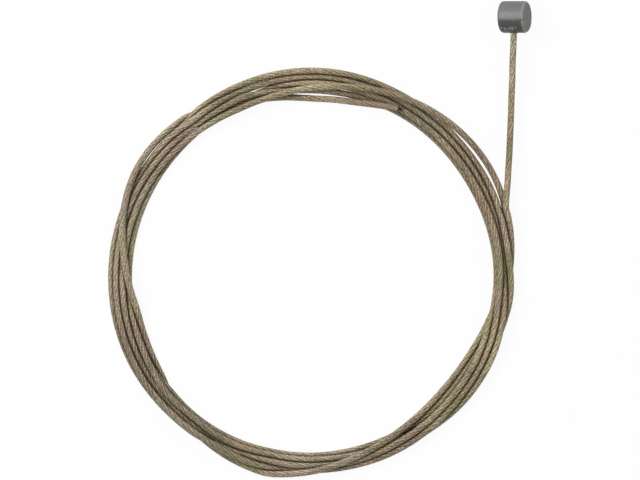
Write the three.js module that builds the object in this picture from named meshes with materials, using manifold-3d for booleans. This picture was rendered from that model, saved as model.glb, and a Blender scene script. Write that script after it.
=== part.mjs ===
import * as THREE from 'three';
import { mergeVertices } from 'three/addons/utils/BufferGeometryUtils.js';
import Module from 'manifold-3d';

// Inner brake cable, coiled flat, with its cast barrel head at the end of a straight lead.
// Millimetres, +Z up. The origin is on the surface, straight below the middle of the head.
// The lead leaves the head towards -Y, and the coil lies beyond it, to the left.

// Stranded steel cable
const cableDiameter = 1.5;
const cableSides = 8;
const cableStepDiameters = 2.5;

// Barrel head: a cylinder on its side, its right end raised by the set of the cable
const headDiameter = 7.2;
const headLength = 6.0;
const headRimRadius = 0.9;
const headTiltDegrees = 18.5;
const headSides = 48;

// Cable entry in the head's curved side: a bore with a funnel mouth, a little nearer the low end
const entryDepth = 1.9;
const entryClearance = 0.3;
const entryFunnelWidth = 0.45;
const entryFunnelDepth = 0.7;
const entryOffset = -0.15;
const entrySides = 24;

// Space between a cable end and the face it meets
const seatGap = 0.3;

// Coil, seen as rows of turns lying beside and on each other
const coilCentreX = -46.2;
const coilCentreY = -58.0;
const coilMeanRadius = 43.65;
const bottomRowTurns = 4;
const topRowTurns = 2;
const rowRise = Math.sqrt(3) / 2;
const valleyAngleDegrees = 60;
const turnArcSteps = 6;
const coilSides = 72;

// Where the lead comes to lie on the outermost turn, and how far up round that turn
const joinAngleDegrees = 17;
const joinClimbDegrees = 66;

// The lead between the head and the coil: points chosen along the cable, [x, y, z]
const leadPoints = [
  [-0.21, -4.80, 4.06],
  [-0.32, -6.65, 4.03],
  [-0.39, -8.50, 3.98],
  [-0.47, -10.30, 3.92],
  [-0.51, -12.10, 3.84],
  [-0.55, -13.90, 3.75],
  [-0.62, -15.75, 3.65],
  [-0.69, -17.55, 3.54],
  [-0.75, -19.40, 3.43],
  [-0.80, -21.20, 3.32],
  [-0.86, -23.00, 3.21],
  [-0.93, -24.85, 3.10],
  [-1.00, -26.65, 3.00],
  [-1.08, -28.45, 2.90],
  [-1.16, -30.30, 2.81],
  [-1.26, -32.10, 2.73],
  [-1.37, -33.90, 2.66],
  [-1.49, -35.75, 2.60],
  [-1.58, -37.60, 2.55],
];

// The free end, from where it leaves the inside of the coil to its cut face. Each point is
// [angle in degrees, distance out from the mean turn, height], both lengths in cable diameters.
const freeEndPoints = [
  [104, -2.70, 0.50],
  [99, -2.71, 0.50],
  [94, -2.72, 0.50],
  [90, -2.72, 0.50],
  [86, -2.71, 0.53],
  [82.5, -2.68, 0.66],
  [79, -2.62, 0.88],
  [76, -2.50, 1.16],
  [73, -2.30, 1.46],
  [70, -2.02, 1.75],
  [67, -1.68, 2.02],
  [64, -1.28, 2.27],
  [61, -0.85, 2.46],
];

const wasm = await Module();
wasm.setup();

const cableRadius = cableDiameter / 2;
const headRadius = headDiameter / 2;
const entryRadius = cableRadius + entryClearance;

const steel = new THREE.MeshStandardMaterial({ color: 0x968c78, roughness: 0.45, metalness: 0.85 });
const zinc = new THREE.MeshStandardMaterial({ color: 0x8f928f, roughness: 0.55, metalness: 0.8 });

// Booleans

function solidOf(geometry) {
  const bare = geometry.clone();
  bare.deleteAttribute('normal');
  bare.deleteAttribute('uv');
  const merged = mergeVertices(bare, 1e-5);
  return new wasm.Manifold(new wasm.Mesh({
    numProp: 3,
    vertProperties: new Float32Array(merged.attributes.position.array),
    triVerts: new Uint32Array(merged.index.array),
  }));
}

function geometryOf(solid) {
  const mesh = solid.getMesh();
  const geometry = new THREE.BufferGeometry();
  geometry.setAttribute('position', new THREE.BufferAttribute(mesh.vertProperties, 3));
  geometry.setIndex(new THREE.BufferAttribute(mesh.triVerts, 1));
  geometry.computeVertexNormals();
  return geometry;
}

function namedMesh(name, geometry, material) {
  const mesh = new THREE.Mesh(geometry, material);
  mesh.name = name;
  return mesh;
}

// Points on an arc, from one angle to another, both ends included
function arcPoints(centreX, centreY, radius, from, to, steps) {
  const points = [];
  for (let i = 0; i <= steps; i += 1) {
    const angle = from + (to - from) * i / steps;
    points.push(new THREE.Vector2(centreX + radius * Math.cos(angle), centreY + radius * Math.sin(angle)));
  }
  return points;
}

// Head

// Barrel along X, turned from a half section with rounded rims
function barrel() {
  const rimX = headRadius - headRimRadius;
  const rimY = headLength / 2 - headRimRadius;
  const profile = [
    new THREE.Vector2(0, -headLength / 2),
    ...arcPoints(rimX, -rimY, headRimRadius, -Math.PI / 2, 0, 5),
    ...arcPoints(rimX, rimY, headRimRadius, 0, Math.PI / 2, 5),
    new THREE.Vector2(0, headLength / 2),
  ];
  return new THREE.LatheGeometry(profile, headSides).rotateZ(-Math.PI / 2);
}

// Round cutter for the cable entry, pointing along -Y, wider at the barrel's surface
function entryCutter() {
  const floor = headRadius - entryDepth;
  const throat = headRadius - entryFunnelDepth;
  const mouthRadius = entryRadius + entryFunnelWidth;
  const profile = [
    new THREE.Vector2(0, floor),
    new THREE.Vector2(entryRadius, floor),
    new THREE.Vector2(entryRadius, throat),
    new THREE.Vector2(mouthRadius, headRadius),
    new THREE.Vector2(mouthRadius, headRadius + cableDiameter),
    new THREE.Vector2(0, headRadius + cableDiameter),
  ];
  return new THREE.LatheGeometry(profile, entrySides).rotateX(Math.PI).translate(entryOffset, 0, 0);
}

function head() {
  const solid = solidOf(barrel()).subtract(solidOf(entryCutter()));
  const mesh = namedMesh('head', geometryOf(solid), zinc);
  mesh.rotation.y = -THREE.MathUtils.degToRad(headTiltDegrees);
  const lowest = new THREE.Box3().setFromObject(mesh, true).min.z;
  mesh.position.z = -lowest;
  return mesh;
}

// Cable

// A point beside the coil, from its angle, its distance out from the mean turn and its height
function besideCoil(angleDegrees, out, height) {
  const angle = THREE.MathUtils.degToRad(angleDegrees);
  const radius = coilMeanRadius + out;
  return new THREE.Vector3(
    coilCentreX + radius * Math.cos(angle),
    coilCentreY + radius * Math.sin(angle),
    height,
  );
}

function cableTube(points) {
  const path = new THREE.CatmullRomCurve3(points);
  const section = new THREE.Shape(arcPoints(0, 0, cableRadius, 0, 2 * Math.PI, cableSides).slice(0, -1));
  const steps = Math.ceil(path.getLength() / (cableStepDiameters * cableDiameter));
  return new THREE.ExtrudeGeometry(section, { steps, extrudePath: path, bevelEnabled: false });
}

// The lead starts inside the entry, short of its floor, and ends just clear of the outermost turn
function lead(castHead) {
  castHead.updateMatrix();
  const inEntry = (y) => new THREE.Vector3(entryOffset, y, 0).applyMatrix4(castHead.matrix);
  const climb = THREE.MathUtils.degToRad(joinClimbDegrees);
  const apart = cableDiameter + seatGap;
  const outermostOut = (bottomRowTurns - 1) * cableRadius;
  const points = [
    inEntry(entryDepth - headRadius - seatGap),
    inEntry(-headRadius),
    ...leadPoints.map((point) => new THREE.Vector3(...point)),
    besideCoil(joinAngleDegrees, outermostOut + apart * Math.cos(climb), cableRadius + apart * Math.sin(climb)),
  ];
  return namedMesh('lead', cableTube(points), steel);
}

function freeEnd() {
  const points = freeEndPoints.map(([angle, out, height]) => (
    besideCoil(angle, out * cableDiameter, height * cableDiameter)
  ));
  return namedMesh('free_end', cableTube(points), steel);
}

// Coil

// Centres of the turns in the coil's section, anticlockwise from the innermost one at the bottom
function turnCentres() {
  const centres = [];
  for (let i = 0; i < bottomRowTurns; i += 1) {
    centres.push(new THREE.Vector2((i - (bottomRowTurns - 1) / 2) * cableDiameter, cableRadius));
  }
  for (let i = topRowTurns - 1; i >= 0; i -= 1) {
    const out = (i - (topRowTurns - 1) / 2) * cableDiameter;
    centres.push(new THREE.Vector2(out, cableRadius + rowRise * cableDiameter));
  }
  return centres;
}

// The section's outline runs over each turn and dips into the valley before the next
function coilSection() {
  const centres = turnCentres();
  const valley = THREE.MathUtils.degToRad(valleyAngleDegrees);
  const outline = [];
  centres.forEach((centre, i) => {
    const before = centres[(i + centres.length - 1) % centres.length];
    const after = centres[(i + 1) % centres.length];
    const arriving = new THREE.Vector2().subVectors(centre, before).angle() - Math.PI / 2;
    let leaving = new THREE.Vector2().subVectors(after, centre).angle() - Math.PI / 2;
    while (leaving < arriving - 1e-6) {
      leaving += 2 * Math.PI;
    }
    const from = arriving - valley;
    const to = leaving + valley;
    outline.push(...arcPoints(centre.x, centre.y, cableRadius, from, to, turnArcSteps));
  });
  outline.push(outline[0].clone());
  return outline.map((point) => new THREE.Vector2(coilMeanRadius + point.x, point.y));
}

function coil() {
  const ring = new THREE.LatheGeometry(coilSection(), coilSides).rotateX(Math.PI / 2);
  ring.translate(coilCentreX, coilCentreY, 0);
  return namedMesh('coil', ring, steel);
}

const group = new THREE.Group();
const castHead = head();
group.add(castHead, lead(castHead), coil(), freeEnd());

export default group;
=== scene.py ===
import math

import bmesh
import bpy
import numpy as np
from mathutils import Matrix, Vector, noise


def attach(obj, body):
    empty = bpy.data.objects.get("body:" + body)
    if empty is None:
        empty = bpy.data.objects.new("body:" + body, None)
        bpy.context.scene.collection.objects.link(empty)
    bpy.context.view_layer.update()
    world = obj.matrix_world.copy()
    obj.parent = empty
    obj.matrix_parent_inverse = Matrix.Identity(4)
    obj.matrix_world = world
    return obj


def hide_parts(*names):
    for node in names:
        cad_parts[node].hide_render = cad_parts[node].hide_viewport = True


mm = 0.001

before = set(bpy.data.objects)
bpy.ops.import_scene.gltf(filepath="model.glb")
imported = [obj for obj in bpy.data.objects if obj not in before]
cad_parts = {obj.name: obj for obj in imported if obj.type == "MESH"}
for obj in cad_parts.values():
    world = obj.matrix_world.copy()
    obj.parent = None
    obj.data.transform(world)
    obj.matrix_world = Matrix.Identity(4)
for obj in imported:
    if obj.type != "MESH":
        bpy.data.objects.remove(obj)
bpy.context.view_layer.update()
scene = bpy.context.scene
scene.view_settings.view_transform = "Standard"
print("frame loaded")


# Camera: straight above, with the head at the top right of the picture

photo = {
    "width": 640,  # pixels
    "height": 480,
    "pixelsPerMm": 4.4,  # the cable is 6.6 pixels wide in it, and 1.5 mm
    "headPixel": (514.5, 17.2),  # the origin in it, under the head
}

camera = {
    "lens": 600.0,
    "sensor": 36.0,
    "level": 1.5 * mm,  # height at which the scale above holds
}


def placeCamera():
    span = photo["width"] / photo["pixelsPerMm"] * mm
    right = (photo["width"] / 2 - photo["headPixel"][0]) / photo["pixelsPerMm"] * mm
    up = (photo["headPixel"][1] - photo["height"] / 2) / photo["pixelsPerMm"] * mm
    data = bpy.data.cameras.new("camera")
    data.lens = camera["lens"]
    data.sensor_width = camera["sensor"]
    lookDown = bpy.data.objects.new("camera", data)
    distance = span * camera["lens"] / camera["sensor"]
    lookDown.location = (right, up, camera["level"] + distance)
    scene.collection.objects.link(lookDown)
    scene.camera = lookDown


placeCamera()
print("camera placed")


# Cable route: out of the head, along the lead, round the coil, to the free end

cable = {
    "diameter": 1.5 * mm,
    "length": 1.65,
    "outerWires": 12,
    "layLength": 11.6 * mm,  # one turn of an outer wire, right-hand lay
    "pointsPerWire": 4,
    "ringSpacing": 0.81 * mm,
    "finePoints": 12,  # on the curve for each point of the route, before the rings are set out
    "fusedLength": 1.2 * mm,  # at the cut end, where the wires are fused together
    "fusedRadius": 0.94,  # in cable radii
    "fusedShare": 0.75,  # how far the wires melt into that radius
    "fusedGroove": 0.8,  # how much of the grooves' painted shade and grease is gone there
    "endRounding": 0.22 * mm,
    "endRings": (30, 60, 90),  # degrees round the rounding
    "endTaper": 0.3,  # how much of the radius the rounding takes
    "greaseAndShadeReach": 0.75 * mm,  # how far out of the gaps between turns the painted shade and old grease reach
    "toneRange": (0.3, 1.0),  # how far single wires are lighter or darker than the rest
    "toneSeed": 7,
}

headMiddle = (-0.05, 0.0, 4.2)  # mm, above the origin

# Out of the head and along the lead, in mm: from the fourth point on as the solids' own route has it
leadPoints = [
    (-0.22, -2.0, 4.079),
    (-0.22, -3.6, 4.079),
    (-0.25, -4.80, 4.06),
    (-0.32, -6.65, 4.03),
    (-0.39, -8.50, 3.98),
    (-0.47, -10.30, 3.92),
    (-0.51, -12.10, 3.84),
    (-0.55, -13.90, 3.75),
    (-0.62, -15.75, 3.65),
    (-0.69, -17.55, 3.54),
    (-0.75, -19.40, 3.43),
    (-0.80, -21.20, 3.32),
    (-0.86, -23.00, 3.21),
    (-0.93, -24.85, 3.10),
    (-1.00, -26.65, 3.00),
    (-1.08, -28.45, 2.90),
    (-1.16, -30.30, 2.81),
    (-1.26, -32.10, 2.73),
    (-1.37, -33.90, 2.66),
    (-1.49, -35.75, 2.60),
    (-1.58, -37.60, 2.55),
]

# The free end: angle in degrees, distance out from the mean turn and height in mm
freeEndPoints = [
    (90.0, -4.15, 0.75),
    (86.0, -4.13, 0.80),
    (82.5, -4.05, 0.99),
    (79.0, -3.93, 1.32),
    (76.0, -3.75, 1.74),
    (73.0, -3.45, 2.19),
    (70.0, -3.03, 2.63),
    (67.0, -2.52, 3.03),
    (64.0, -1.92, 3.41),
    (61.0, -1.28, 4.1),
]

coil = {
    "centre": (-46.2, -58.0),
    "meanRadius": 43.65,
    "firstAngle": 18.8,  # the cable joins here and runs clockwise
    "lastAngle": 61.3,
    "turns": 6,
    "stationDegrees": 2.5,
    "hourDegrees": 30,
    "rowRise": 0.87,  # height of a row of turns, in diameters
    "beforeOut": 3.7,  # where the first turn comes from, an hour before 3 o'clock
    "beforeRow": 2.0,
    "afterOut": 1.0,  # where the last of the hourly places leads
    "afterRow": 0.5,
    "looseFrom": 93.0,  # from this angle on the free end keeps its drawn place
}

# How far out from the mean turn each turn lies at the hours, from 3 o'clock round by 6, in mm
turnsOut = [
    (1.35, -2.2, -1.6, -1.95, -1.6, -1.5, -0.8, -0.7, 1.45, 2.25, 1.47, 1.1),
    (1.2, 1.1, -0.6, -0.9, -0.7, -1.45, -2.2, -2.65, -2.35, -0.5, -1.5, -1.3),
    (-0.6, 0.25, 1.1, 1.2, 1.2, 1.6, 0.6, -0.25, -0.85, -2.3, -2.2, -2.4),
    (-1.4, -1.2, -0.4, 0.25, 1.0, 2.1, 1.8, 0.9, 0.05, 0.9, 0.0, -0.05),
    (0.4, 2.0, 0.1, -0.3, 0.4, 0.15, -0.8, -1.3, -2.9, -1.8, 1.0, 3.0),
]

# Which turn lies on which at the same hours, in rows up from the floor
turnsRow = [
    (0.8, 0.7, 0.2, 0.0, 0.0, 0.6, 0.0, 0.0, 0.9, 0.7, 0.0, 0.5),
    (2.0, 0.0, 0.0, 0.9, 1.0, 1.4, 0.1, 0.0, 0.2, 0.6, 1.0, 1.0),
    (2.2, 1.0, 1.0, 0.2, 2.0, 1.0, 0.8, 0.9, 1.4, 0.0, 0.0, 0.0),
    (0.5, 1.3, 1.5, 1.0, 1.0, 0.1, 0.2, 0.3, 1.2, 0.2, 0.6, 0.9),
    (1.2, 1.1, 0.1, 0.0, 0.4, 1.0, 1.0, 0.9, 1.0, 1.5, 2.0, 0.5),
]

# The last turn is wound round the others, by turns inside, over, outside and under them:
# angle in degrees, out in mm and row
wrapQuarters = [
    (112, -2.8, 1.5),
    (70, 0.3, 2.3),
    (28, 3.55, 0.2),
    (-1, 0.0, 0.0),
    (-41, -3.6, 0.2),
    (-80, -0.1, 2.2),
    (-105, 3.0, 0.8),
    (-131, 0.0, 0.0),
    (-160, -3.3, 0.2),
    (-190, -0.2, 2.2),
    (-214, 2.9, 0.9),
    (-242, -0.8, 0.0),
    (-276, -4.2, 0.0),
]

settling = {
    "touching": 0.965,  # how near two turns come, in diameters, as the wires bed in
    "sharing": 0.6,  # how much a station with more than one neighbour holds back
    # rounds, pull to the drawn place, weight, stiffness
    "stages": [(500, 0.06, 0.02, 0.5), (300, 0.02, 0.006, 0.3), (150, 0.0, 0.002, 0.05)],
}


def curveThrough(values, places):
    # smooth curve through evenly spaced values, read at fractional places
    last = len(values) - 1
    whole = np.clip(np.floor(places).astype(int), 0, last - 1)
    part = places - whole
    before = values[np.maximum(whole - 1, 0)]
    here = values[whole]
    there = values[whole + 1]
    after = values[np.minimum(whole + 2, last)]
    if values.ndim > 1:
        part = part[:, None]
    straight = 2 * here + (there - before) * part
    bend = (2 * before - 5 * here + 4 * there - after) * part ** 2
    swing = (3 * here - before - 3 * there + after) * part ** 3
    return 0.5 * (straight + bend + swing)


def woundValues(turned, column, easeFrom):
    # between two quarters of the winding the place follows a quarter of a sine
    angles = np.array([-quarter[0] for quarter in wrapQuarters], float)
    values = np.array([quarter[column] for quarter in wrapQuarters], float)
    quarter = np.clip(np.searchsorted(angles, turned, side="right") - 1, 0, len(angles) - 2)
    part = (turned - angles[quarter]) / (angles[quarter + 1] - angles[quarter])
    leaving = 1 - np.cos(part * math.pi / 2)
    arriving = np.sin(part * math.pi / 2)
    ease = np.where(quarter % 2 == easeFrom, leaving, arriving)
    return values[quarter] + (values[quarter + 1] - values[quarter]) * ease


def drawnTurns():
    # out and height of every station along the coil, before the turns settle on each other
    step = coil["stationDegrees"]
    fullTurns = 360 * coil["turns"]
    turned = np.arange(-coil["firstAngle"], fullTurns - coil["lastAngle"] + step / 2, step)
    hours = turned / coil["hourDegrees"] + 1
    outs = np.array([coil["beforeOut"]] + [v for turn in turnsOut for v in turn] + [coil["afterOut"]])
    rows = np.array([coil["beforeRow"]] + [v for turn in turnsRow for v in turn] + [coil["afterRow"]])
    out = curveThrough(outs, hours)
    row = curveThrough(rows, hours)
    lastTurn = fullTurns - 360
    wound = turned >= lastTurn - wrapQuarters[0][0]
    out[wound] = woundValues(turned[wound] - lastTurn, 1, 0)
    row[wound] = woundValues(turned[wound] - lastTurn, 2, 1)
    diameter = cable["diameter"] / mm
    height = diameter * (0.5 + row * coil["rowRise"])
    free = np.array(freeEndPoints)
    atEnd = turned >= fullTurns - free[0, 0]
    out[atEnd] = np.interp(turned[atEnd], fullTurns - free[:, 0], free[:, 1])
    height[atEnd] = np.interp(turned[atEnd], fullTurns - free[:, 0], free[:, 2])
    return turned, np.stack([out, height], 1)


def settleTurns(drawn):
    # the turns push each other apart, bend as stiff wire does and come down onto the floor
    diameter = cable["diameter"] / mm
    perTurn = int(360 / coil["stationDegrees"])
    nearest = settling["touching"] * diameter
    loose = int((360 * coil["turns"] - coil["looseFrom"] + coil["firstAngle"]) / coil["stationDegrees"])
    place = drawn.copy()
    for rounds, pull, weight, stiffness in settling["stages"]:
        for _ in range(rounds):
            place[:, 0] += pull * (drawn[:, 0] - place[:, 0])
            place[:, 1] += weight * (drawn[:, 1] - place[:, 1])
            push = np.zeros_like(place)
            touches = np.zeros(len(place))
            for apart in range(perTurn, len(place), perTurn):
                between = place[apart:] - place[:-apart]
                distance = np.maximum(np.linalg.norm(between, axis=1), 1e-6)
                overlap = np.clip(nearest - distance, 0, None)
                move = (0.5 * overlap / distance)[:, None] * between
                push[apart:] += move
                push[:-apart] -= move
                touches[apart:] += overlap > 0
                touches[:-apart] += overlap > 0
            place += push / np.maximum(1, touches * settling["sharing"])[:, None]
            middle = 0.25 * place[:-2] + 0.5 * place[1:-1] + 0.25 * place[2:]
            place[1:-1] += stiffness * (middle - place[1:-1])
            place[:, 1] = np.maximum(place[:, 1], 0.5 * diameter)
            place[loose:] = drawn[loose:]
    return place


def cableRoute():
    turned, drawn = drawnTurns()
    place = settleTurns(drawn)
    angle = np.radians(-turned)
    radius = coil["meanRadius"] + place[:, 0]
    x = coil["centre"][0] + radius * np.cos(angle)
    y = coil["centre"][1] + radius * np.sin(angle)
    turns = np.stack([x, y, place[:, 1]], 1)
    return np.concatenate([np.array(leadPoints), turns]) * mm


def evenRings(points):
    # ring centres at even steps, with a few more at the rounded end
    finePoints = cable["finePoints"] * len(points)
    fine = curveThrough(points, np.linspace(0, len(points) - 1, finePoints))
    along = np.concatenate([[0], np.cumsum(np.linalg.norm(np.diff(fine, axis=0), axis=1))])
    total = along[-1]
    rounding = cable["endRounding"]
    rings = int((total - rounding) / cable["ringSpacing"])
    at = np.linspace(0, total - rounding, rings)
    at = np.concatenate([at, total - rounding * (1 - np.sin(np.radians(cable["endRings"])))])
    centres = np.stack([np.interp(at, along, fine[:, axis]) for axis in range(3)], 1)
    return at, centres, total


def ringAxes(centres):
    # two directions across each ring, carried along without turning
    along = np.gradient(centres, axis=0)
    along /= np.linalg.norm(along, axis=1)[:, None]
    first = np.zeros_like(along)
    side = np.cross(along[0], (0, 0, 1))
    first[0] = side / np.linalg.norm(side)
    for i in range(1, len(along)):
        side = first[i - 1] - along[i] * np.dot(first[i - 1], along[i])
        first[i] = side / np.linalg.norm(side)
    return first, np.cross(along, first)


def wireProfile():
    # radius across one outer wire, as a share of the cable's, and how deep in the groove it is
    half = math.pi / cable["outerWires"]
    wireRadius = math.sin(half) / (1 + math.sin(half))
    centreRadius = 1 - wireRadius
    across = np.linspace(-half, half, cable["pointsPerWire"] + 1)[:-1]
    height = wireRadius ** 2 - (centreRadius * np.sin(across)) ** 2
    radius = centreRadius * np.cos(across) + np.sqrt(np.clip(height, 0, None))
    return radius, (1 - radius) / (1 - radius.min())


def nearTurns(centres, points):
    # 1 on the skin where the cable touches another turn of itself, falling to 0 away from it
    middle = np.array(coil["centre"]) * mm
    across = centres[:, :2] - middle
    turned = -np.unwrap(np.arctan2(across[:, 1], across[:, 0]))
    out = np.hypot(across[:, 0], across[:, 1])
    pointOut = np.hypot(points[..., 0] - middle[0], points[..., 1] - middle[1])
    near = np.zeros(pointOut.shape)
    for turns in range(-coil["turns"], coil["turns"] + 1):
        other = turned + 2 * math.pi * turns
        there = (other > turned[0]) & (other < turned[-1]) & (turns != 0)
        side = pointOut - np.interp(other, turned, out)[:, None]
        rise = points[..., 2] - np.interp(other, turned, centres[:, 2])[:, None]
        gap = np.hypot(side, rise) - cable["diameter"] / 2
        near = np.maximum(near, np.where(there[:, None], 1 - gap / cable["greaseAndShadeReach"], 0))
    return np.minimum(near, 1)


def setAttribute(mesh, name, values):
    layer = mesh.attributes.new(name, "FLOAT", "POINT")
    layer.data.foreach_set("value", np.asarray(values, np.float32).ravel())


def wireSkin(at, centres, total):
    # ring after ring of points on the wires, which wind round the cable and are fused at its cut end
    first, second = ringAxes(centres)
    radius, groove = wireProfile()
    wires = cable["outerWires"]
    around = wires * cable["pointsPerWire"]
    lobes = np.tile(radius, wires)[None, :]
    fused = np.clip(1 - (total - at) / cable["fusedLength"], 0, 1)[:, None]
    shape = lobes + (cable["fusedRadius"] - lobes) * (cable["fusedShare"] * fused)
    fromEnd = np.clip((total - at) / cable["endRounding"], 0, 1)
    size = 1 - cable["endTaper"] * (1 - np.sqrt(1 - (1 - fromEnd) ** 2))
    turn = 2 * math.pi * at[:, None] / cable["layLength"]
    angle = 2 * math.pi * np.arange(around)[None, :] / around + turn
    reach = 0.5 * cable["diameter"] * shape * size[:, None]
    ring = first[:, None, :] * np.cos(angle)[..., None] + second[:, None, :] * np.sin(angle)[..., None]
    points = centres[:, None, :] + ring * reach[..., None]
    grooves = np.tile(groove, wires)[None, :] * (1 - cable["fusedGroove"] * fused)
    return points, grooves, fused


def tubeMesh(name, points):
    # skin over the rings, with a cap at each end
    rings, around = points.shape[:2]
    index = np.arange(rings * around).reshape(rings, around)
    beside = np.roll(index, -1, axis=1)
    quads = np.stack([index[:-1], beside[:-1], beside[1:], index[1:]], -1).reshape(-1, 4)
    caps = [tuple(index[0][::-1].tolist()), tuple(index[-1].tolist())]
    mesh = bpy.data.meshes.new(name)
    mesh.from_pydata(points.reshape(-1, 3).tolist(), [], quads.tolist() + caps)
    mesh.shade_smooth()
    return mesh


def wireTones():
    # every other wire lighter than the rest, and those between them darker
    wires = cable["outerWires"]
    depth = np.random.default_rng(cable["toneSeed"]).uniform(*cable["toneRange"], wires)
    return depth * np.tile([1, -1], wires // 2)


def makeCable():
    at, centres, total = evenRings(cableRoute())
    points, grooves, fused = wireSkin(at, centres, total)
    rings, around = points.shape[:2]
    mesh = tubeMesh("brakeCable", points)
    setAttribute(mesh, "groove", grooves)
    setAttribute(mesh, "fused", np.repeat(fused, around))
    setAttribute(mesh, "nearTurns", nearTurns(centres, points))
    setAttribute(mesh, "wireTone", np.tile(np.repeat(wireTones(), cable["pointsPerWire"]), rings))
    setAttribute(mesh, "alongCable", np.repeat(at, around))
    piece = bpy.data.objects.new("brakeCable", mesh)
    scene.collection.objects.link(piece)
    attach(piece, "root")
    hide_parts("lead", "coil", "free_end")
    print("cable laid:", rings, "rings,", round(total, 4), "m")
    return piece


cablePiece = makeCable()


# Head: a barrel cast onto the end of the cable

head = {
    "diameter": 7.2,  # mm
    "length": 6.24,
    "tiltDegrees": 18.5,
    "rimRadius": 0.65,
    "segments": 192,
    "faceRings": 16,
    "rimRings": 8,
    "barrelRings": 40,
    "faceDish": 0.05,  # how far the end faces sink in the middle
    "dishEdge": (0.62, 0.86),  # where the sinking ends, in barrel radii
    "barrelEdge": (0.9, 0.985),  # where the round side's own marks begin and are full, in barrel radii
    "endFade": 0.35,  # over this distance to the end faces the rough strip fades out
    "partingRidge": 0.03,  # where the two halves of the mould met
    "partingWidth": 0.11,
    "partingVaries": 0.3,  # share of the ridge's height that comes and goes
    "entryOffset": -0.15,  # how far along the barrel the cable leaves it
    "lipHeight": 0.07,  # collar of zinc round the cable
    "lipRadius": 0.92,
    "lipWidth": 0.3,
    "lipWobble": 0.12,
    "lipFill": 0.72,  # within this radius, under the cable, the zinc is filled up
    "lipRoughness": 0.8,  # against the rough strip's 1
    "unevenness": 0.02,
    "skinFractal": (1.0, 2.0, 3),  # smoothness, step from wave to finer wave, number of waves
    "scarAngles": (41, 70),  # rough strip beside the cable, from the top towards it
    "scarAngleFades": (5, 6),  # over how many degrees to each side of those it fades
    "scarReach": (-2.6, 1.2),
    "scarReachFades": (0.4, 0.3),  # beyond that reach and within it
    "scarFractal": (0.8, 2.1, 4),
    "scarHeight": 0.075,
    "scarMean": 0.35,  # how far the strip stands out as a whole, in scar heights
    "pit": (2.55, -0.75),  # small hole on the top by the raised end: mm along the barrel and across
    "pitRadius": 0.28,
    "pitFloor": 0.2,  # flat middle of its floor, in radii of the hole
    "pitDepth": 0.12,
    "paintedShadeAngles": (11, 150),  # painted shade on the barrel's lower side, from just past the top round by the cable
    "paintedShadeFades": (7, 20),
    "paintedShadeWobble": 3,  # degrees
    "rimHighlights": (0.8, 0.1),  # how bright the painted highlight on the raised end's rim is, and on the other's
    "rimSlope": 0.6,  # where on the rounding the painted highlight runs, as its normal's share along the barrel
    "rimFade": (0.15, 0.6),  # how far from that share the line starts to fade and is gone
    "rimMean": 0.75,
    "rimVaries": 0.5,
    "faceSlope": (0.8, 0.97),  # where the end faces' painted shade begins and is full, as the same share
}

# How often the casting's uneven places come, in waves per mm
skinWaves = {
    "skin": 1.1,
    "parting": 2.3,
    "lip": 1.9,
    "scar": 3.2,
    "rim": 1.3,
    "shadeEdge": 1.5,
}


def smoothStep(low, high, value):
    part = min(1.0, max(0.0, (value - low) / (high - low)))
    return part * part * (3 - 2 * part)


def fadedBand(value, edges, fades):
    # 1 between two edges, falling to 0 round each of them
    low, high = edges
    lowFade, highFade = fades
    rising = smoothStep(low - lowFade, low + lowFade, value)
    return rising * (1 - smoothStep(high - highFade, high + highFade, value))


def barrelProfile():
    # half section of one end, from the middle of its face round the rim
    radius = head["diameter"] / 2
    half = head["length"] / 2
    rim = head["rimRadius"]
    points = []
    for i in range(head["faceRings"]):
        out = (radius - rim) * i / head["faceRings"]
        sink = head["faceDish"] * (1 - smoothStep(*head["dishEdge"], out / radius))
        points.append((-half + sink, out))
    for i in range(head["rimRings"]):
        turn = math.pi / 2 * i / head["rimRings"]
        points.append((-half + rim * (1 - math.cos(turn)), radius - rim * (1 - math.sin(turn))))
    return points


def castSkin(point):
    # how far a point of the barrel stands out, how rough it is and how far it is in the small hole
    x, y, z = point
    radius = math.hypot(y, z)
    onBarrel = smoothStep(*head["barrelEdge"], radius / (head["diameter"] / 2))
    inside = smoothStep(0.0, head["endFade"], head["length"] / 2 - abs(x))
    spot = Vector((x, y, z))
    stand = head["unevenness"] * noise.fractal(spot * skinWaves["skin"], *head["skinFractal"])
    # parting line
    ridge = 1 - smoothStep(0.0, head["partingWidth"], abs(z))
    varies = head["partingVaries"]
    uneven = 1 - varies + varies * noise.noise(spot * skinWaves["parting"])
    stand += head["partingRidge"] * ridge * onBarrel * uneven
    # collar round the cable
    fromCable = math.hypot(x - head["entryOffset"], z) if y < 0 else head["diameter"]
    wobble = head["lipWobble"] * noise.noise(spot * skinWaves["lip"])
    lip = 1 - smoothStep(0.0, head["lipWidth"], abs(fromCable - head["lipRadius"] + wobble))
    lip = max(lip, 1.0 if fromCable < head["lipFill"] else 0.0)
    stand += head["lipHeight"] * lip * onBarrel
    # rough strip left by the mould's inlet
    down = math.degrees(math.atan2(-y, z))
    scar = fadedBand(down, head["scarAngles"], head["scarAngleFades"])
    left, right = head["scarReach"]
    beyond, within = head["scarReachFades"]
    scar *= smoothStep(left - beyond, left + within, x) * (1 - smoothStep(right - within, right + beyond, x))
    scar *= onBarrel * inside
    rough = noise.fractal(spot * skinWaves["scar"], *head["scarFractal"])
    stand += head["scarHeight"] * scar * (head["scarMean"] + rough)
    # small hole
    fromPit = math.hypot(x - head["pit"][0], y - head["pit"][1]) if z > 0 else head["diameter"]
    pit = 1 - smoothStep(head["pitFloor"], 1.0, fromPit / head["pitRadius"])
    stand -= head["pitDepth"] * pit
    return stand, max(scar, head["lipRoughness"] * lip * onBarrel), pit


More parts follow.
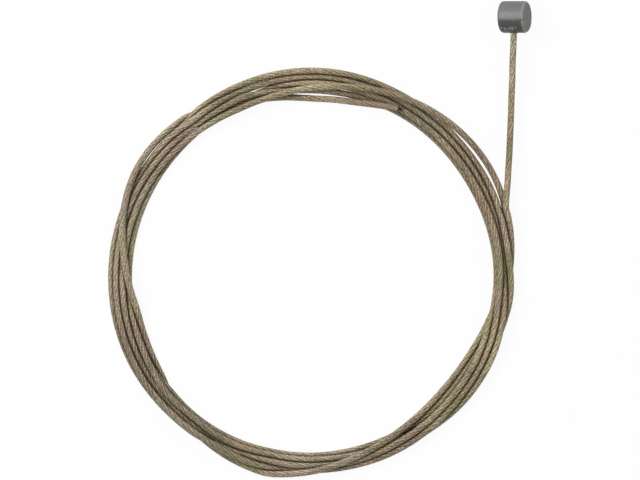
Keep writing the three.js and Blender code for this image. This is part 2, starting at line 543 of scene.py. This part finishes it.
def paintedRimHighlight(vert):
    # painted highlight: a bright line where the raised end's rounding meets its face, a trace of it at the
    # other end
    line = 1 - smoothStep(*head["rimFade"], abs(abs(vert.normal.x) - head["rimSlope"]))
    glint = min(1.0, head["rimMean"] + head["rimVaries"] * noise.noise(vert.co * skinWaves["rim"]))
    raised, low = head["rimHighlights"]
    return line * glint * (raised if vert.co.x > 0 else low)


# painted shade: the barrel darker on its side away from the key light
def paintedShadeSide(point):
    down = math.degrees(math.atan2(-point.y, point.z))
    down += head["paintedShadeWobble"] * noise.noise(point * skinWaves["shadeEdge"])
    return fadedBand(down, head["paintedShadeAngles"], head["paintedShadeFades"])


def turnedBarrel():
    # the half section, spun round the barrel's axis
    radius = head["diameter"] / 2
    start = head["rimRadius"] - head["length"] / 2
    straight = head["length"] - 2 * head["rimRadius"]
    rings = head["barrelRings"]
    ends = barrelProfile()
    body = [(start + straight * i / rings, radius) for i in range(rings + 1)]
    profile = ends + body + [(-x, out) for x, out in reversed(ends)]
    bm = bmesh.new()
    verts = [bm.verts.new((x, out, 0)) for x, out in profile]
    edges = [bm.edges.new(pair) for pair in zip(verts[:-1], verts[1:])]
    bmesh.ops.spin(
        bm,
        geom=verts + edges,
        cent=(0, 0, 0),
        axis=(1, 0, 0),
        angle=2 * math.pi,
        steps=head["segments"],
        use_merge=True,
    )
    bmesh.ops.remove_doubles(bm, verts=bm.verts, dist=1e-4)
    bmesh.ops.recalc_face_normals(bm, faces=bm.faces)
    bm.normal_update()
    return bm


def makeHead():
    bm = turnedBarrel()
    skin = [castSkin(vert.co) for vert in bm.verts]
    for vert, (stand, _, _) in zip(bm.verts, skin):
        vert.co += vert.normal * stand
    masks = {
        "castRough": [rough for _, rough, _ in skin],
        "rim": [paintedRimHighlight(vert) for vert in bm.verts],
        "endFace": [smoothStep(*head["faceSlope"], abs(vert.normal.x)) for vert in bm.verts],
        "paintedShade": [paintedShadeSide(vert.co) for vert in bm.verts],
        "pit": [pit for _, _, pit in skin],
        "alongBarrel": [vert.co.x for vert in bm.verts],
    }
    lift = Matrix.Translation(Vector(headMiddle) * mm)
    tilt = Matrix.Rotation(-math.radians(head["tiltDegrees"]), 4, "Y")
    bmesh.ops.transform(bm, matrix=lift @ tilt @ Matrix.Scale(mm, 4), verts=bm.verts)
    for vert in bm.verts:
        vert.co.z = max(vert.co.z, 0.0)
    mesh = bpy.data.meshes.new("barrelHead")
    bm.to_mesh(mesh)
    bm.free()
    mesh.shade_smooth()
    for name, values in masks.items():
        setAttribute(mesh, name, values)
    piece = bpy.data.objects.new("barrelHead", mesh)
    scene.collection.objects.link(piece)
    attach(piece, "root")
    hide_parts("head")
    print("head cast:", len(mesh.polygons), "faces")
    return piece


headPiece = makeHead()


# Materials

steel = {
    "light": (0.455, 0.37, 0.24),
    "olive": (0.37, 0.335, 0.185),
    "mauve": (0.43, 0.31, 0.225),
    # lighter, greener cable by the head: its own tone there, and painted light that lifts the head's shadow
    "nearHead": (0.47, 0.46, 0.31),
    "grey": (0.36, 0.335, 0.28),
    # painted shade in the grooves between the wires, with old grease
    "groove": (0.046, 0.030, 0.012),
    # painted shade and old grease between the turns
    "greaseAndShade": (0.050, 0.031, 0.011),
    "cutEnd": (0.03, 0.022, 0.014),
    "cutWire": (0.50, 0.47, 0.40),
    "patchScale": 120.0,
    "grainScale": 2000.0,
    "wideScale": 45.0,  # patches some centimetres long
    "coarseScale": 900.0,
    "mauveShare": 0.7,
    "greyShare": 0.3,
    "nearHeadShare": 0.8,
    "nearHeadFade": (0.0045, 0.0065),  # along the cable, in metres
    "wideContrast": (0.78, 1.14),
    "wireContrast": 0.38,  # how much lighter and darker than the rest single wires are
    "grainContrast": 0.42,
    "grainRange": (0.15, 0.85),  # the grain's values that count as lowest and highest
    "grooveShare": 0.9,
    "greaseAndShadeShare": 0.85,
    "greaseAndShadeRange": (0.25, 0.85),  # how near two turns are where it begins and is full, touching being 1
    "cutSpecks": (0.6, 0.75),  # the coarse grain's values where bright wire begins and is full
    "cutBegins": (0.3, 0.7),  # where the cut end's look begins and is full, fully fused being 1
    "metallic": 0.3,
    "specular": 0.2,
    "roughness": (0.32, 0.56),
    "bump": (0.25, 0.02 * mm),
}

zinc = {
    "light": (0.192, 0.198, 0.190),
    "dark": (0.128, 0.133, 0.128),
    "paintedShade": (0.058, 0.059, 0.056),  # painted shade on the side towards the cable
    "scar": (0.055, 0.053, 0.05),
    "speck": (0.38, 0.36, 0.36),
    # painted highlight along the end rims
    "rim": (0.36, 0.375, 0.355),
    # painted shade on the end faces, which turn away from the key light
    "face": (0.040, 0.050, 0.044),
    # painted shade in the small hole
    "pit": (0.012, 0.012, 0.011),
    "patchScale": 420.0,
    "grainScale": 2200.0,
    "streakScale": 3.2,  # streaks round the barrel, per mm of its length
    "streakDetail": 2.0,
    "streakRange": (0.3, 0.7),
    "streakShare": 0.6,
    "grainContrast": 0.15,
    "faceShare": 0.9,
    "scarShare": 0.9,
    "scarSpecks": (0.5, 0.75),  # the grain's values where bright specks begin to show and are full
    "metallic": 0.2,
    "roughness": (0.45, 0.62),
    "bump": (0.5, 0.05 * mm),
}

# Patches and fine grain that both metals have
mottling = {
    "tintShift": (0.31, 0.17, 0.05),  # metres to the patches that give the tint
    "patchDetail": 2.0,
    "patchRange": (0.4, 0.6),  # the noise's values that count as none and as full
    "grainDetail": 3.0,
    "grainRange": (0.3, 0.7),
}


def newMaterial(name):
    material = bpy.data.materials.new(name)
    material.use_nodes = True
    tree = material.node_tree
    tree.nodes.clear()
    shader = tree.nodes.new("ShaderNodeBsdfPrincipled")
    output = tree.nodes.new("ShaderNodeOutputMaterial")
    tree.links.new(shader.outputs["BSDF"], output.inputs["Surface"])
    return material, tree, shader


def plug(tree, socket, value):
    # a value that is another node's output is linked, any other is set
    if isinstance(value, bpy.types.NodeSocket):
        tree.links.new(value, socket)
    elif isinstance(value, tuple) and len(value) == 3 and socket.type == "RGBA":
        socket.default_value = (*value, 1)
    else:
        socket.default_value = value


def mathNode(tree, operation, first, second=0.0, clamp=False):
    node = tree.nodes.new("ShaderNodeMath")
    node.operation = operation
    node.use_clamp = clamp
    plug(tree, node.inputs[0], first)
    plug(tree, node.inputs[1], second)
    return node.outputs[0]


def mixColour(tree, factor, first, second, blend="MIX"):
    node = tree.nodes.new("ShaderNodeMix")
    node.data_type = "RGBA"
    node.blend_type = blend
    plug(tree, node.inputs["Factor"], factor)
    plug(tree, node.inputs["A"], first)
    plug(tree, node.inputs["B"], second)
    return node.outputs["Result"]


def spread(tree, value, low, high, toLow=0.0, toHigh=1.0):
    node = tree.nodes.new("ShaderNodeMapRange")
    for name, number in (("From Min", low), ("From Max", high), ("To Min", toLow), ("To Max", toHigh)):
        node.inputs[name].default_value = number
    plug(tree, node.inputs["Value"], value)
    return node.outputs["Result"]


def readAttribute(tree, name):
    node = tree.nodes.new("ShaderNodeAttribute")
    node.attribute_name = name
    return node.outputs["Fac"]


def noiseNode(tree, vector, scale, detail=3.0, roughness=0.55):
    node = tree.nodes.new("ShaderNodeTexNoise")
    plug(tree, node.inputs["Vector"], vector)
    plug(tree, node.inputs["Scale"], scale)
    node.inputs["Detail"].default_value = detail
    node.inputs["Roughness"].default_value = roughness
    return node.outputs["Fac"]


def makeMottle():
    # patches and fine grain, for bare metal that has been handled and stored
    group = bpy.data.node_groups.new("metalMottle", "ShaderNodeTree")
    for name in ("Patch Scale", "Grain Scale"):
        group.interface.new_socket(name, in_out="INPUT", socket_type="NodeSocketFloat")
    for name in ("Patches", "Tint", "Grain"):
        group.interface.new_socket(name, in_out="OUTPUT", socket_type="NodeSocketFloat")
    inward = group.nodes.new("NodeGroupInput")
    outward = group.nodes.new("NodeGroupOutput")
    place = group.nodes.new("ShaderNodeTexCoord").outputs["Object"]
    shift = group.nodes.new("ShaderNodeVectorMath")
    shift.operation = "ADD"
    group.links.new(place, shift.inputs[0])
    shift.inputs[1].default_value = mottling["tintShift"]
    patches = noiseNode(group, place, inward.outputs["Patch Scale"], mottling["patchDetail"])
    tint = noiseNode(group, shift.outputs[0], inward.outputs["Patch Scale"], mottling["patchDetail"])
    grain = noiseNode(group, place, inward.outputs["Grain Scale"], mottling["grainDetail"])
    for name, value in (("Patches", patches), ("Tint", tint)):
        group.links.new(spread(group, value, *mottling["patchRange"]), outward.inputs[name])
    group.links.new(spread(group, grain, *mottling["grainRange"]), outward.inputs["Grain"])
    return group


mottle = makeMottle()


def placeMottle(tree, patchScale, grainScale):
    node = tree.nodes.new("ShaderNodeGroup")
    node.node_tree = mottle
    node.inputs["Patch Scale"].default_value = patchScale
    node.inputs["Grain Scale"].default_value = grainScale
    return node.outputs


def bumpNode(tree, height, strength, distance):
    node = tree.nodes.new("ShaderNodeBump")
    node.inputs["Strength"].default_value = strength
    node.inputs["Distance"].default_value = distance
    plug(tree, node.inputs["Height"], height)
    return node.outputs["Normal"]


def makeSteel():
    material, tree, shader = newMaterial("strandedSteel")
    metal = placeMottle(tree, steel["patchScale"], steel["grainScale"])
    wide = placeMottle(tree, steel["wideScale"], steel["coarseScale"])
    # toned steel, in patches
    colour = mixColour(tree, metal["Patches"], steel["light"], steel["olive"])
    mauve = mathNode(tree, "MULTIPLY", metal["Tint"], steel["mauveShare"])
    colour = mixColour(tree, mauve, colour, steel["mauve"])
    grey = mathNode(tree, "MULTIPLY", wide["Tint"], steel["greyShare"])
    colour = mixColour(tree, grey, colour, steel["grey"])
    shade = spread(tree, wide["Patches"], 0.0, 1.0, *steel["wideContrast"])
    colour = mixColour(tree, 1.0, colour, shade, "MULTIPLY")
    # lighter by the head: the cable's own tone there, and painted light that lifts the head's shadow
    start, end = steel["nearHeadFade"]
    byHead = spread(tree, readAttribute(tree, "alongCable"), start, end, steel["nearHeadShare"], 0.0)
    colour = mixColour(tree, byHead, colour, steel["nearHead"])
    # lighter and darker wires, and fine grain on each
    contrast = steel["wireContrast"]
    tone = spread(tree, readAttribute(tree, "wireTone"), -1.0, 1.0, 1 - contrast, 1 + contrast)
    colour = mixColour(tree, 1.0, colour, tone, "MULTIPLY")
    contrast = steel["grainContrast"]
    grain = spread(tree, metal["Grain"], *steel["grainRange"], 1 - contrast, 1 + contrast)
    colour = mixColour(tree, 1.0, colour, grain, "MULTIPLY")
    # painted shade, with old grease, in the grooves and between the turns
    # painted shade in the grooves between the wires
    groove = spread(tree, readAttribute(tree, "groove"), 0.0, 1.0, 0.0, steel["grooveShare"])
    colour = mixColour(tree, groove, colour, steel["groove"])
    # painted shade where the turns lie close, with old grease
    nearness = readAttribute(tree, "nearTurns")
    crevice = spread(tree, nearness, *steel["greaseAndShadeRange"], 0.0, steel["greaseAndShadeShare"])
    colour = mixColour(tree, crevice, colour, steel["greaseAndShade"])
    # cut end
    specks = spread(tree, wide["Grain"], *steel["cutSpecks"])
    cut = mixColour(tree, specks, steel["cutEnd"], steel["cutWire"])
    atCut = spread(tree, readAttribute(tree, "fused"), *steel["cutBegins"])
    colour = mixColour(tree, atCut, colour, cut)
    plug(tree, shader.inputs["Base Color"], colour)
    shader.inputs["Metallic"].default_value = steel["metallic"]
    shader.inputs["Specular IOR Level"].default_value = steel["specular"]
    plug(tree, shader.inputs["Roughness"], spread(tree, metal["Grain"], 0.0, 1.0, *steel["roughness"]))
    plug(tree, shader.inputs["Normal"], bumpNode(tree, metal["Grain"], *steel["bump"]))
    return material


def barrelCloud(tree, metal):
    # casting skin: patches, and streaks that run round the barrel
    lines = tree.nodes.new("ShaderNodeCombineXYZ")
    plug(tree, lines.inputs["X"], readAttribute(tree, "alongBarrel"))
    streaks = noiseNode(tree, lines.outputs[0], zinc["streakScale"], zinc["streakDetail"])
    streaks = spread(tree, streaks, *zinc["streakRange"])
    patches = mathNode(tree, "MULTIPLY", metal["Patches"], 1 - zinc["streakShare"])
    return mathNode(tree, "ADD", patches, mathNode(tree, "MULTIPLY", streaks, zinc["streakShare"]))


def makeZinc():
    material, tree, shader = newMaterial("castZinc")
    metal = placeMottle(tree, zinc["patchScale"], zinc["grainScale"])
    colour = mixColour(tree, barrelCloud(tree, metal), zinc["light"], zinc["dark"])
    contrast = zinc["grainContrast"]
    grain = spread(tree, metal["Grain"], 0.0, 1.0, 1 - contrast, 1 + contrast)
    colour = mixColour(tree, 1.0, colour, grain, "MULTIPLY")
    # painted shade over the barrel's lower side
    colour = mixColour(tree, readAttribute(tree, "paintedShade"), colour, zinc["paintedShade"])
    # painted shade on the end faces
    face = mathNode(tree, "MULTIPLY", readAttribute(tree, "endFace"), zinc["faceShare"])
    colour = mixColour(tree, face, colour, zinc["face"])
    # painted highlight on the rims
    colour = mixColour(tree, readAttribute(tree, "rim"), colour, zinc["rim"])
    specks = spread(tree, metal["Grain"], *zinc["scarSpecks"])
    speckled = mixColour(tree, specks, zinc["scar"], zinc["speck"])
    scar = mathNode(tree, "MULTIPLY", readAttribute(tree, "castRough"), zinc["scarShare"])
    colour = mixColour(tree, scar, colour, speckled)
    # painted shade in the small hole
    colour = mixColour(tree, readAttribute(tree, "pit"), colour, zinc["pit"])
    plug(tree, shader.inputs["Base Color"], colour)
    shader.inputs["Metallic"].default_value = zinc["metallic"]
    plug(tree, shader.inputs["Roughness"], spread(tree, metal["Grain"], 0.0, 1.0, *zinc["roughness"]))
    plug(tree, shader.inputs["Normal"], bumpNode(tree, metal["Grain"], *zinc["bump"]))
    return material


cablePiece.data.materials.append(makeSteel())
headPiece.data.materials.append(makeZinc())
print("materials made")


# Floor and light

studio = {
    "floorSize": 6.0,
    "floorDrop": 0.01 * mm,
    "floorColour": (0.93, 0.93, 0.93),
    "whiteShare": 0.94,  # how much of the floor's look is plain white, the rest keeps the shadow
    "ambient": 0.29,
    "keyPower": 19.0,
    "keyFrom": (150, 56),  # degrees round from the right, and up
    "keySize": 0.8,
    "fillPower": 3.0,
    "fillFrom": (28, 50),
    "fillSize": 0.8,
    "distance": 1.6,
}


def seenDirectly(tree):
    # 1 for what the camera sees straight, in a reflection or through glass
    path = tree.nodes.new("ShaderNodeLightPath")
    seen = mathNode(tree, "MAXIMUM", path.outputs["Is Camera Ray"], path.outputs["Is Glossy Ray"])
    return mathNode(tree, "MAXIMUM", seen, path.outputs["Is Transmission Ray"])


def makeFloor():
    bm = bmesh.new()
    bmesh.ops.create_grid(bm, x_segments=1, y_segments=1, size=studio["floorSize"] / 2)
    bmesh.ops.translate(bm, verts=bm.verts, vec=(0, 0, -studio["floorDrop"]))
    mesh = bpy.data.meshes.new("floor")
    bm.to_mesh(mesh)
    bm.free()
    floor = bpy.data.objects.new("floor", mesh)
    scene.collection.objects.link(floor)
    material = bpy.data.materials.new("paleFloor")
    material.use_nodes = True
    tree = material.node_tree
    tree.nodes.clear()
    output = tree.nodes.new("ShaderNodeOutputMaterial")
    mix = tree.nodes.new("ShaderNodeMixShader")
    matt = tree.nodes.new("ShaderNodeBsdfDiffuse")
    white = tree.nodes.new("ShaderNodeEmission")
    matt.inputs["Color"].default_value = (*studio["floorColour"], 1)
    white.inputs["Color"].default_value = (1, 1, 1, 1)
    white.inputs["Strength"].default_value = 1.0
    plug(tree, mix.inputs["Fac"], mathNode(tree, "MULTIPLY", seenDirectly(tree), studio["whiteShare"]))
    tree.links.new(matt.outputs[0], mix.inputs[1])
    tree.links.new(white.outputs[0], mix.inputs[2])
    tree.links.new(mix.outputs[0], output.inputs["Surface"])
    mesh.materials.append(material)


def makeWorld():
    world = bpy.data.worlds.new("studio")
    world.use_nodes = True
    scene.world = world
    tree = world.node_tree
    tree.nodes.clear()
    output = tree.nodes.new("ShaderNodeOutputWorld")
    sky = tree.nodes.new("ShaderNodeBackground")
    sky.inputs["Color"].default_value = (1, 1, 1, 1)
    rest = mathNode(tree, "MULTIPLY", seenDirectly(tree), 1 - studio["ambient"])
    plug(tree, sky.inputs["Strength"], mathNode(tree, "ADD", rest, studio["ambient"]))
    tree.links.new(sky.outputs[0], output.inputs["Surface"])


def areaLight(name, power, comesFrom, size):
    data = bpy.data.lights.new(name, "AREA")
    data.energy = power
    data.size = size
    lamp = bpy.data.objects.new(name, data)
    turn, rise = (math.radians(a) for a in comesFrom)
    direction = Vector((math.cos(turn) * math.cos(rise), math.sin(turn) * math.cos(rise), math.sin(rise)))
    target = Vector((coil["centre"][0] * mm, coil["centre"][1] * mm, 0))
    lamp.location = target + direction * studio["distance"]
    lamp.rotation_euler = direction.to_track_quat("Z", "Y").to_euler()
    scene.collection.objects.link(lamp)


makeFloor()
makeWorld()
areaLight("key", studio["keyPower"], studio["keyFrom"], studio["keySize"])
areaLight("fill", studio["fillPower"], studio["fillFrom"], studio["fillSize"])
print("studio set")
